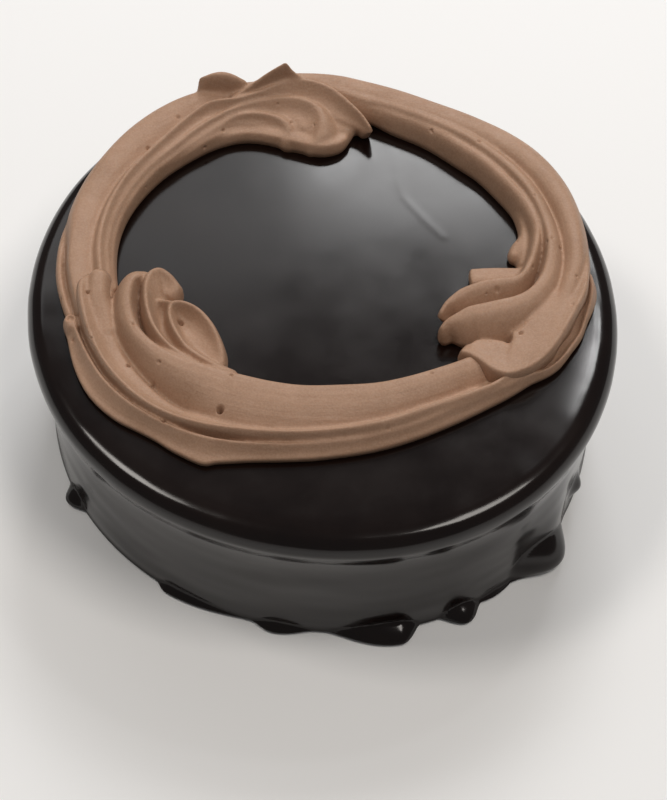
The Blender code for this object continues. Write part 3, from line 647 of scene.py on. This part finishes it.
def pinhole_tree():
    """Geometry nodes that scatter pinholes over a skin and press each one in."""
    tree, given = geometry_tree("pinholes", {
        "Holes to the square metre": 1500.0, "Smallest radius": 0.4 * MM, "Largest radius": 0.7 * MM,
        "Depth to radius": 1.2, "Seed": 1})
    scatter = {"Mesh": given["Skin"], "Density": given["Holes to the square metre"], "Seed": given["Seed"]}
    dots = add(tree, "GeometryNodeDistributePointsOnFaces", scatter).outputs["Points"]
    sizes = {2: given["Smallest radius"], 3: given["Largest radius"], "Seed": given["Seed"]}
    size = add(tree, "FunctionNodeRandomValue", sizes, data_type="FLOAT")
    near = add(tree, "GeometryNodeProximity", {0: dots}, target_element="POINTS")
    which = add(tree, "GeometryNodeSampleNearest", {"Geometry": dots}, domain="POINT")
    radius = add(tree, "GeometryNodeSampleIndex",
                 {"Geometry": dots, "Value": size.outputs[1], "Index": which.outputs[0]},
                 data_type="FLOAT", domain="POINT").outputs[0]
    share = add(tree, "ShaderNodeMath", {0: near.outputs["Distance"], 1: radius}, operation="DIVIDE")
    press = add(tree, "ShaderNodeMapRange",
                {"Value": share.outputs[0], 1: PINHOLE_EDGE, 2: PINHOLE_FLOOR, 3: 0.0, 4: 1.0},
                interpolation_type="SMOOTHSTEP")
    depth = add(tree, "ShaderNodeMath", {0: radius, 1: given["Depth to radius"]}, operation="MULTIPLY")
    inward = add(tree, "ShaderNodeMath", {0: depth.outputs[0], 1: press.outputs[0]}, operation="MULTIPLY")
    back = add(tree, "ShaderNodeMath", {0: inward.outputs[0], 1: -1.0}, operation="MULTIPLY").outputs[0]
    move_along_normal(tree, given, back)
    return tree


def apply_tree(item, tree, **inputs):
    """Run a geometry tree over an object with the named inputs, and keep the plain mesh."""
    mod = item.modifiers.new(tree.name, "NODES")
    mod.node_group = tree
    for socket in tree.interface.items_tree:
        key = socket.name.lower().replace(" ", "_")
        if socket.in_out == "INPUT" and key in inputs:
            mod[socket.identifier] = inputs[key]
    settle(item)


def drag_pattern(tree, place):
    """Places for streaks that run round the ring as the piped cream does: fine across the ring line and
    long along it."""
    split = add(tree, "ShaderNodeSeparateXYZ", {0: place})
    east = add(tree, "ShaderNodeMath", {0: split.outputs["X"], 1: RING_X * MM},
               operation="SUBTRACT").outputs[0]
    north = add(tree, "ShaderNodeMath", {0: split.outputs["Y"], 1: RING_Y * MM},
                operation="SUBTRACT").outputs[0]
    rounded = add(tree, "ShaderNodeMath", {0: north, 1: RING_A / RING_B}, operation="MULTIPLY")
    spoke = add(tree, "ShaderNodeCombineXYZ", {"X": east, "Y": rounded.outputs[0]})
    outwards = add(tree, "ShaderNodeVectorMath", {0: spoke.outputs[0]}, operation="LENGTH")
    narrow = 1 / (STREAK_WIDTH * MM)
    slow = 1 / (STREAK_LENGTH * MM)
    across = add(tree, "ShaderNodeMath", {0: outwards.outputs["Value"], 1: narrow}, operation="MULTIPLY")
    along = add(tree, "ShaderNodeMath", {0: east, 1: slow}, operation="MULTIPLY")
    deep = add(tree, "ShaderNodeMath", {0: north, 1: slow}, operation="MULTIPLY")
    swept = {"X": across.outputs[0], "Y": along.outputs[0], "Z": deep.outputs[0]}
    return add(tree, "ShaderNodeCombineXYZ", swept).outputs[0]


def cream_material():
    """Whipped chocolate buttercream: fat beaten full of fine air, so it is a pale matt brown with a
    faint waxy sheen, lets a little light through, and shows a fine foam grain and softly mottled tones."""
    mat = bpy.data.materials.new("whipped chocolate buttercream, piped with a star tip")
    mat.use_nodes = True
    tree = mat.node_tree
    shader = tree.nodes["Principled BSDF"]
    place = add(tree, "ShaderNodeTexCoord").outputs["Object"]
    mottle = add(tree, "ShaderNodeTexNoise", {"Vector": place, "Scale": 1 / (MOTTLE_SIZE * MM),
                                              "Detail": 3.0, "Roughness": 0.55})
    tones = add(tree, "ShaderNodeValToRGB", {"Fac": mottle.outputs["Fac"]})
    tones.color_ramp.elements[0].position = 0.32
    tones.color_ramp.elements[0].color = linear("#9A7860")
    tones.color_ramp.elements[1].position = 0.68
    tones.color_ramp.elements[1].color = linear("#A7846C")
    grain = add(tree, "ShaderNodeTexNoise", {"Vector": place, "Scale": 1 / (GRAIN_SIZE * MM),
                                             "Detail": 2.0, "Roughness": 0.6}).outputs["Fac"]
    foam = add(tree, "ShaderNodeTexNoise", {"Vector": place, "Scale": 1 / (FOAM_SIZE * MM),
                                            "Detail": 2.0, "Roughness": 0.5}).outputs["Fac"]
    streaks = add(tree, "ShaderNodeTexNoise", {"Vector": drag_pattern(tree, place), "Scale": 1.0,
                                               "Detail": 3.0, "Roughness": 0.6}).outputs["Fac"]
    speckle = add(tree, "ShaderNodeMapRange", {"Value": grain, 1: 0.35, 2: 0.65, 3: 0.0, 4: 0.30})
    blend = {0: speckle.outputs[0], 6: tones.outputs["Color"], 7: linear("#BE9F88")}
    colour = add(tree, "ShaderNodeMix", blend, data_type="RGBA")
    tree.links.new(colour.outputs[2], shader.inputs["Base Color"])
    sheen = add(tree, "ShaderNodeMapRange", {"Value": foam, 1: 0.3, 2: 0.7, 3: 0.50, 4: 0.62})
    tree.links.new(sheen.outputs[0], shader.inputs["Roughness"])
    relief = None
    for pattern, strength, depth in ((streaks, 0.6, 0.24), (foam, 0.5, 0.20), (grain, 0.7, 0.08)):
        sockets = {"Height": pattern, "Strength": strength, "Distance": depth * MM}
        if relief:
            sockets["Normal"] = relief.outputs[0]
        relief = add(tree, "ShaderNodeBump", sockets)
    tree.links.new(relief.outputs[0], shader.inputs["Normal"])
    shader.inputs["IOR"].default_value = 1.45
    shader.inputs["Specular IOR Level"].default_value = 0.40
    shader.inputs["Subsurface Weight"].default_value = 0.12
    shader.inputs["Subsurface Radius"].default_value = (1.0, 0.55, 0.32)
    shader.inputs["Subsurface Scale"].default_value = 1.4 * MM
    return mat


def shade_smooth(item):
    """Shade all faces as one smooth skin."""
    item.data.polygons.foreach_set("use_smooth", np.ones(len(item.data.polygons), bool))


def soft_scroll(name, ridges, seed):
    """A whole scroll as it was piped, still running on under the head that lies over its tail."""
    item = scroll(name, ridges, seed)
    level_cut(item, CREAM_Z - ROUGH_DEPTH)
    run_together(item)
    soften(item, SOFT_ROUNDS, SOFT_HOLLOW, SOFT_RIDGE)
    tuck_under(item)
    burst_bubbles(item)
    return item


def swollen_copy(item, gap):
    """A copy of a scroll with its skin moved out a little."""
    other = item.copy()
    other.data = item.data.copy()
    bpy.context.scene.collection.objects.link(other)
    set_points(other.data, points_of(other.data) + gap * MM * normals_of(other.data))
    return other


def dress_scroll(item, over, node, seed, mat, tree):
    """Finish a scroll: cut clear of the head that lies over its tail, trimmed level and pitted."""
    cut_away(item, over)
    level_cut(item, CREAM_Z)
    largest_piece(item)
    apply_tree(item, tree, seed=seed, material=mat)
    shade_smooth(item)
    item.data.set_sharp_from_angle(angle=math.radians(FOOT_ANGLE))
    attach(item, "root")
    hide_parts(node)


# each scroll's side of the cake, its ridges and the seed of its drag lines and pinholes
SCROLLS = (("front", FRONT_RIDGES, 11), ("right", RIGHT_RIDGES, 12), ("back", BACK_RIDGES, 13))


def cream_ring(mat, tree):
    """The three scrolls, each laid over the tail of the one before it."""
    whole = [soft_scroll(f"cream_scroll_{side}_piped", ridges, seed) for side, ridges, seed in SCROLLS]
    over = [swollen_copy(item, CUT_GAP) for item in whole[1:] + whole[:1]]
    for item, head, (side, _, seed) in zip(whole, over, SCROLLS):
        dress_scroll(item, head, f"cream_scroll_{side}", seed, mat, tree)


# ---- the glazed cake --------------------------------------------------------------------------
RIM_SEGMENTS = 720       # facets round the rim, the wall and the foot
TOP_SEGMENTS = 360       # facets round the level top
TOP_STEP = 0.92          # ring spacing on the level top
TOP_EDGE = 86.0          # where the level top meets the finer rings; it lies under the cream
WALL_PROFILE = (         # radius and height, from the foot up to the level top
    (WALL_R - 1.0, 0.0),
    (WALL_R + 0.4, 1.2),
    (WALL_R, 4.0),
    (WALL_R - 0.2, 20.0),
    (WALL_R + 0.2, 36.0),
    (WALL_R + 0.5, 43.0),
    (WALL_R + 1.3, 48.3),
    (RIM_R - 0.8, 52.2),
    (RIM_R, 56.0),
    (RIM_R - 0.6, 59.2),
    (RIM_R - 2.6, 61.8),
    (RIM_R - 5.2, 62.9),
    (RIM_R - 9.0, TOP_Z),
)
PROFILE_ROWS = (6, 8, 22, 10, 8, 5, 5, 6, 5, 5, 5, 5)   # rings between the points of the profile

# puddles of set glaze round the foot: angle of the fullest place, degrees to where each end runs out,
# reach outwards and height
PUDDLES = (
    (204.5, 3.8, 4.2, 4.0, 5.0),
    (235.0, 3.4, 18.0, 2.2, 3.4),
    (259.0, 5.0, 8.0, 2.7, 3.6),
    (283.8, 14.0, 4.8, 6.2, 5.4),       # left bead
    (297.2, 4.6, 4.6, 5.4, 5.2),        # right bead
    (305.0, 5.0, 7.0, 1.4, 3.5),
    (317.2, 8.2, 8.8, 6.8, 15.0),       # large pool
)
# drips on the wall: angle, half width in degrees, thickness, lowest and highest points
WALL_DRIPS = (
    (320.0, 9.0, 3.0, -30.0, 46.0),     # the drip that fed the pool
    (333.0, 3.2, 2.6, 3.0, 18.0),       # small knob beside it
)
ROUNDNESS_ALONG = 0.65   # less than 1 makes a puddle plumper, along the foot and upwards
ROUNDNESS_UP = 0.4
PUDDLE_BELLY = 0.28      # height of a puddle's widest place, as a share of its own height
PUDDLE_ENDS = 0.5        # how high a puddle is at its ends, and how wide at its foot, as shares of
PUDDLE_FOOT = 0.5        # its full height and width
LEAN_TURN = 338.0        # the wall stands a little further in on this side
LEAN_SPREAD = 55.0
LEAN_DEPTH = 2.4
RIM_UNDERSIDE = 52.0     # the lean has run out at this height
# faint crease across the top, as plan places, with its width and height
CREASE = ((27.1, 64.7), (27.6, 50.8), (29.1, 42.9), (36.4, 32.4), (42.3, 24.7))
CREASE_WIDTH = 1.3
CREASE_HEIGHT = 0.02
# where the unevenness of the glaze fades in or out: heights over the floor, radii on the shoulder, and
# how much the skin faces up or down
GROUND_FADE = (0.5, 6.0)
UNDER_RIM_FADE = (36.0, 46.0)
SHOULDER_RADII = (84.0, 93.0)
SHOULDER_HEIGHTS = (50.0, 58.0)
TOP_FACING = (0.9, 1.0)
WALL_FACING = (0.9, 0.1)
CLOUD_SIZE = 22.0        # size of the faint cloudy patches in the glaze


def outline(angle):
    """How far the cake's outline strays outwards at angles in degrees."""
    total = np.zeros(np.shape(angle))
    for n, c, s in OUTLINE_WAVES:
        total = total + c * np.cos(np.radians(n * angle)) + s * np.sin(np.radians(n * angle))
    return total


def profile_rings():
    """Radii and heights of all the rings of the rim, wall and foot, on one smooth run."""
    places = [0.0]
    for k, rows in enumerate(PROFILE_ROWS):
        places.extend(k + (j + 1) / rows for j in range(rows))
    v = np.array(places) / len(PROFILE_ROWS)
    radii = run_through([p[0] for p in WALL_PROFILE], v)
    heights = run_through([p[1] for p in WALL_PROFILE], v)
    return radii, heights


def swell(share):
    """A soft hump: full at a share of 0, gone at 1, and level at both."""
    return 0.5 + 0.5 * np.cos(np.pi * np.clip(np.abs(share), 0, 1))


def turned(angle, start):
    """Angles in degrees counted from a start, between -180 and 180."""
    return (angle - start + 180) % 360 - 180


def puddle_reach(angle, z):
    """How far the puddles at the foot reach out of the wall."""
    reach = np.zeros(np.shape(angle))
    for turn, before, after, deep, high in PUDDLES:
        away = turned(angle, turn)
        along = swell(np.where(away < 0, away / before, away / after)) ** ROUNDNESS_ALONG
        climb = z / (high * (PUDDLE_ENDS + (1 - PUDDLE_ENDS) * along))
        upper = swell((climb - PUDDLE_BELLY) / (1 - PUDDLE_BELLY)) ** ROUNDNESS_UP
        under = 1 - (1 - PUDDLE_FOOT) * (1 - np.minimum(climb / PUDDLE_BELLY, 1)) ** 2
        reach = reach + deep * along * np.where(climb > PUDDLE_BELLY, upper, under)
    return reach


def drip_reach(angle, z):
    """How far the drips on the wall stand out of it."""
    reach = np.zeros(np.shape(angle))
    for turn, half_width, thick, low, high in WALL_DRIPS:
        lift = (z - (low + high) / 2) / ((high - low) / 2)
        reach = reach + thick * swell(turned(angle, turn) / half_width) * swell(lift)
    return reach


def with_drips(radius, angle, z):
    """The wall's radius with its lean, its drips and the puddles at its foot."""
    lean = LEAN_DEPTH * swell(turned(angle, LEAN_TURN) / LEAN_SPREAD) * swell(z / RIM_UNDERSIDE)
    return radius - lean + puddle_reach(angle, z) + drip_reach(angle, z)


def crease_height(x, y):
    """Height of the faint crease in the skin of the glaze."""
    nearest = np.full(np.shape(x), 1e9)
    for (ax, ay), (bx, by) in zip(CREASE, CREASE[1:]):
        length = (bx - ax) ** 2 + (by - ay) ** 2
        s = np.clip(((x - ax) * (bx - ax) + (y - ay) * (by - ay)) / length, 0, 1)
        nearest = np.minimum(nearest, np.hypot(x - ax - s * (bx - ax), y - ay - s * (by - ay)))
    return CREASE_HEIGHT * np.exp(-(nearest / CREASE_WIDTH) ** 2)


def ripple_waves(tree, place, length, seed):
    """Waves of a length, from about -0.5 to 0.5."""
    scale = add(tree, "ShaderNodeMath", {0: 1.0, 1: length}, operation="DIVIDE")
    waves = add(tree, "ShaderNodeTexNoise",
                {"Vector": place, "W": seed, "Scale": scale.outputs[0], "Detail": 1.0, "Roughness": 0.4},
                noise_dimensions="4D")
    return add(tree, "ShaderNodeMath", {0: waves.outputs[0], 1: 0.5}, operation="SUBTRACT").outputs[0]


def ripple_tree():
    """Geometry nodes that give a set glaze its long, low unevenness: slight on the top, more on the
    wall, where it runs in level bands, none where the cake stands or close under the rim, and a
    shorter ripple on the shoulder."""
    tree, given = geometry_tree("glaze_ripple", {
        "Top ripple": 0.10 * MM, "Wall ripple": 0.9 * MM, "Ripple length": 38 * MM,
        "Band height": 13 * MM, "Shoulder ripple": 0.55 * MM, "Shoulder ripple length": 20 * MM,
        "Seed": 3.0})
    place = add(tree, "GeometryNodeInputPosition").outputs[0]
    east, north, height = add(tree, "ShaderNodeSeparateXYZ", {0: place}).outputs
    normal = add(tree, "GeometryNodeInputNormal").outputs[0]
    facing = add(tree, "ShaderNodeSeparateXYZ", {0: normal}).outputs["Z"]

    squeeze = add(tree, "ShaderNodeMath", {0: given["Ripple length"], 1: given["Band height"]},
                  operation="DIVIDE")
    tall = add(tree, "ShaderNodeMath", {0: height, 1: squeeze.outputs[0]}, operation="MULTIPLY")
    banded = add(tree, "ShaderNodeCombineXYZ", {"X": east, "Y": north, "Z": tall.outputs[0]})
    level = add(tree, "ShaderNodeMath", {0: facing}, operation="ABSOLUTE")
    amount = add(tree, "ShaderNodeMapRange",
                 {"Value": level.outputs[0], 1: WALL_FACING[0], 2: WALL_FACING[1],
                  3: given["Top ripple"], 4: given["Wall ripple"]}, interpolation_type="SMOOTHSTEP")
    grounded = add(tree, "ShaderNodeMapRange",
                   {"Value": height, 1: GROUND_FADE[0] * MM, 2: GROUND_FADE[1] * MM, 3: 0.0, 4: 1.0})
    under_rim = add(tree, "ShaderNodeMapRange",
                    {"Value": height, 1: UNDER_RIM_FADE[0] * MM, 2: UNDER_RIM_FADE[1] * MM,
                     3: 1.0, 4: 0.0}, interpolation_type="SMOOTHSTEP")
    on_top = add(tree, "ShaderNodeMapRange",
                 {"Value": facing, 1: TOP_FACING[0], 2: TOP_FACING[1], 3: 0.0, 4: 1.0})
    kept = add(tree, "ShaderNodeMath", {0: under_rim.outputs[0], 1: on_top.outputs[0]},
               operation="MAXIMUM")
    ripple = ripple_waves(tree, banded.outputs[0], given["Ripple length"], given["Seed"])
    for share in (amount, kept, grounded):
        ripple = add(tree, "ShaderNodeMath", {0: ripple, 1: share.outputs[0]},
                     operation="MULTIPLY").outputs[0]

    flat = add(tree, "ShaderNodeCombineXYZ", {"X": east, "Y": north})
    outwards = add(tree, "ShaderNodeVectorMath", {0: flat.outputs[0]}, operation="LENGTH")
    shoulder = add(tree, "ShaderNodeMapRange",
                   {"Value": outwards.outputs["Value"], 1: SHOULDER_RADII[0] * MM,
                    2: SHOULDER_RADII[1] * MM, 3: 0.0, 4: given["Shoulder ripple"]},
                   interpolation_type="SMOOTHSTEP")
    over_wall = add(tree, "ShaderNodeMapRange",
                    {"Value": height, 1: SHOULDER_HEIGHTS[0] * MM, 2: SHOULDER_HEIGHTS[1] * MM,
                     3: 0.0, 4: 1.0}, interpolation_type="SMOOTHSTEP")
    short_ripple = ripple_waves(tree, place, given["Shoulder ripple length"], given["Seed"])
    for share in (shoulder, over_wall):
        short_ripple = add(tree, "ShaderNodeMath", {0: short_ripple, 1: share.outputs[0]},
                           operation="MULTIPLY").outputs[0]
    both = add(tree, "ShaderNodeMath", {0: ripple, 1: short_ripple}, operation="ADD")
    move_along_normal(tree, given, both.outputs[0])
    return tree


def glaze_material():
    """Chocolate mirror glaze, poured warm and set: a near-black warm brown under a smooth, glossy skin,
    with faint cloudy patches where the skin has dulled and long soft reflections."""
    mat = bpy.data.materials.new("dark chocolate mirror glaze, poured and set")
    mat.use_nodes = True
    tree = mat.node_tree
    shader = tree.nodes["Principled BSDF"]
    place = add(tree, "ShaderNodeTexCoord").outputs["Object"]
    cloud = add(tree, "ShaderNodeTexNoise", {"Vector": place, "Scale": 1 / (CLOUD_SIZE * MM),
                                             "Detail": 4.0, "Roughness": 0.6}).outputs["Fac"]
    tones = add(tree, "ShaderNodeValToRGB", {"Fac": cloud})
    tones.color_ramp.elements[0].position = 0.3
    tones.color_ramp.elements[0].color = linear("#0E0605")
    tones.color_ramp.elements[1].position = 0.7
    tones.color_ramp.elements[1].color = linear("#140A07")
    tree.links.new(tones.outputs["Color"], shader.inputs["Base Color"])
    dull = add(tree, "ShaderNodeMapRange", {"Value": cloud, 1: 0.3, 2: 0.7, 3: 0.125, 4: 0.185})
    tree.links.new(dull.outputs[0], shader.inputs["Roughness"])
    shader.inputs["IOR"].default_value = 1.44
    return mat


def level_top(radius_edge):
    """Rings of the level top from its middle outwards."""
    count = int(round(radius_edge / TOP_STEP))
    angle = np.arange(TOP_SEGMENTS) * 360.0 / TOP_SEGMENTS
    verts = [(0.0, 0.0, TOP_Z)]
    for k in range(1, count + 1):
        r = radius_edge * k / count
        x = r * np.cos(np.radians(angle))
        y = r * np.sin(np.radians(angle))
        z = TOP_Z + crease_height(x, y)
        verts.extend(zip(x, y, z))
    faces = [(0, 1 + j, 1 + (j + 1) % TOP_SEGMENTS) for j in range(TOP_SEGMENTS)]
    faces += grid_faces(count, TOP_SEGMENTS, 1)
    return verts, faces


def glazed_cake(mat):
    """The cake turned about Z with its wavy outline, level top, rounded rim, wall, foot and base."""
    verts, faces = level_top(TOP_EDGE)
    edge_start = len(verts) - TOP_SEGMENTS
    angle = np.arange(RIM_SEGMENTS) * 360.0 / RIM_SEGMENTS
    radii, heights = profile_rings()
    first = len(verts)
    for r, z in zip(radii[::-1], heights[::-1]):
        around = with_drips(r + outline(angle), angle, z)
        x = around * np.cos(np.radians(angle))
        y = around * np.sin(np.radians(angle))
        verts.extend(zip(x, y, np.full(RIM_SEGMENTS, z)))
    faces += grid_faces(len(radii), RIM_SEGMENTS, first)
    half = RIM_SEGMENTS // TOP_SEGMENTS
    for j in range(TOP_SEGMENTS):
        a = edge_start + j
        b = edge_start + (j + 1) % TOP_SEGMENTS
        c = first + half * j
        d = first + half * j + 1
        e = first + (half * j + 2) % RIM_SEGMENTS
        faces += [(a, c, d), (a, d, b), (b, d, e)]
    foot = len(verts) - RIM_SEGMENTS
    faces.append(tuple(range(foot, foot + RIM_SEGMENTS)))
    item = mesh_object("glazed_cake_poured", verts, faces)
    apply_tree(item, ripple_tree(), material=mat)
    shade_smooth(item)
    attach(item, "root")
    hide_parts("glazed_cake")
    return item


# ---- floor, light and camera ---------------------------------------------------------------------
FLOOR_REACH = 6.0                           # metres from the cake to each edge of the floor
CAMERA_PLACE = (0.0, -0.4242, 0.6248)       # metres
PITCH, YAW, ROLL = 55.81, 0.48, -0.64       # degrees downwards, to the right, and tilted
LENS_LENGTH = 93.18                         # millimetres, on a sensor 36 mm wide
# soft lights: name, place in metres, the point it is aimed at, width and height, power in watts, colour
SOFT_LIGHTS = (
    ("back right window", (0.38, 1.80, 1.5), (0.38, 1.80, 0.0), (0.80, 1.16), 34, "#FFFFFF"),
    ("back left window", (-0.5, 1.62, 1.5), (-0.5, 1.62, 0.0), (0.9, 1.1), 4.7, "#FFFFFF"),
    ("left", (-0.75, 0.15, 1.5), (0.0, 0.0, 0.05), (0.45, 0.4), 6.4, "#FFF9F2"),
    ("right", (0.6, -0.25, 1.5), (0.0, 0.0, 0.05), (0.6, 0.5), 8.5, "#FFF9F2"),
    ("right rim", (0.47, 0.97, 1.5), (0.47, 0.97, 0.0), (0.14, 0.10), 1.3, "#FFFFFF"),
)
WORLD_LIGHT = 0.15                          # strength of the even white light from all round


def pale_floor():
    """A plain pale floor that the cake stands on."""
    mesh = bpy.data.meshes.new("floor")
    reach = FLOOR_REACH
    corners = [(-reach, -reach, 0), (reach, -reach, 0), (reach, reach, 0), (-reach, reach, 0)]
    mesh.from_pydata(corners, [], [(0, 1, 2, 3)])
    item = bpy.data.objects.new("floor", mesh)
    bpy.context.scene.collection.objects.link(item)
    mat = bpy.data.materials.new("plain pale paper")
    mat.use_nodes = True
    shader = mat.node_tree.nodes["Principled BSDF"]
    shader.inputs["Base Color"].default_value = linear("#F4F4F4")
    shader.inputs["Roughness"].default_value = 0.9
    mesh.materials.append(mat)


def soft_light(name, place, aim, size, power, colour):
    """An area light at a place in metres, turned to an aim point; size is its width and height."""
    lamp = bpy.data.lights.new(name, "AREA")
    lamp.shape = "RECTANGLE"
    lamp.size, lamp.size_y = size
    lamp.energy = power
    lamp.color = linear(colour)[:3]
    item = bpy.data.objects.new(name, lamp)
    item.location = place
    item.rotation_euler = (Vector(aim) - Vector(place)).to_track_quat("-Z", "Y").to_euler()
    bpy.context.scene.collection.objects.link(item)


def studio():
    """A ceiling window behind the cake that its level top mirrors, a dimmer one beside it, a soft light
    at each side of the viewer and a small one that draws a stroke on the right shoulder, with nothing
    bright straight behind the viewer."""
    for spec in SOFT_LIGHTS:
        soft_light(*spec)
    world = bpy.data.worlds.new("studio")
    world.use_nodes = True
    background = world.node_tree.nodes["Background"]
    background.inputs["Color"].default_value = linear("#FFFFFF")
    background.inputs["Strength"].default_value = WORLD_LIGHT
    bpy.context.scene.world = world


def camera():
    """The photo's view: from the front and above, a little turned and tilted."""
    pitch = math.radians(PITCH)
    yaw = math.radians(YAW)
    roll = math.radians(ROLL)
    level = math.cos(pitch)
    ahead = Vector((math.sin(yaw) * level, math.cos(yaw) * level, -math.sin(pitch)))
    right = Vector((math.cos(yaw), -math.sin(yaw), 0))
    up = right.cross(ahead)
    across = math.cos(roll) * right + math.sin(roll) * up
    upwards = math.cos(roll) * up - math.sin(roll) * right
    lens = bpy.data.cameras.new("camera")
    lens.sensor_fit = "AUTO"
    lens.sensor_width = 36
    lens.lens = LENS_LENGTH
    lens.clip_end = 50
    item = bpy.data.objects.new("camera", lens)
    rows = [(across[i], upwards[i], -ahead[i], CAMERA_PLACE[i]) for i in range(3)]
    item.matrix_world = Matrix(rows + [(0, 0, 0, 1)])
    bpy.context.scene.collection.objects.link(item)
    bpy.context.scene.camera = item


camera()
studio()
pale_floor()
glazed_cake(glaze_material())
cream_ring(cream_material(), pinhole_tree())
bpy.context.scene.view_settings.view_transform = "Standard"
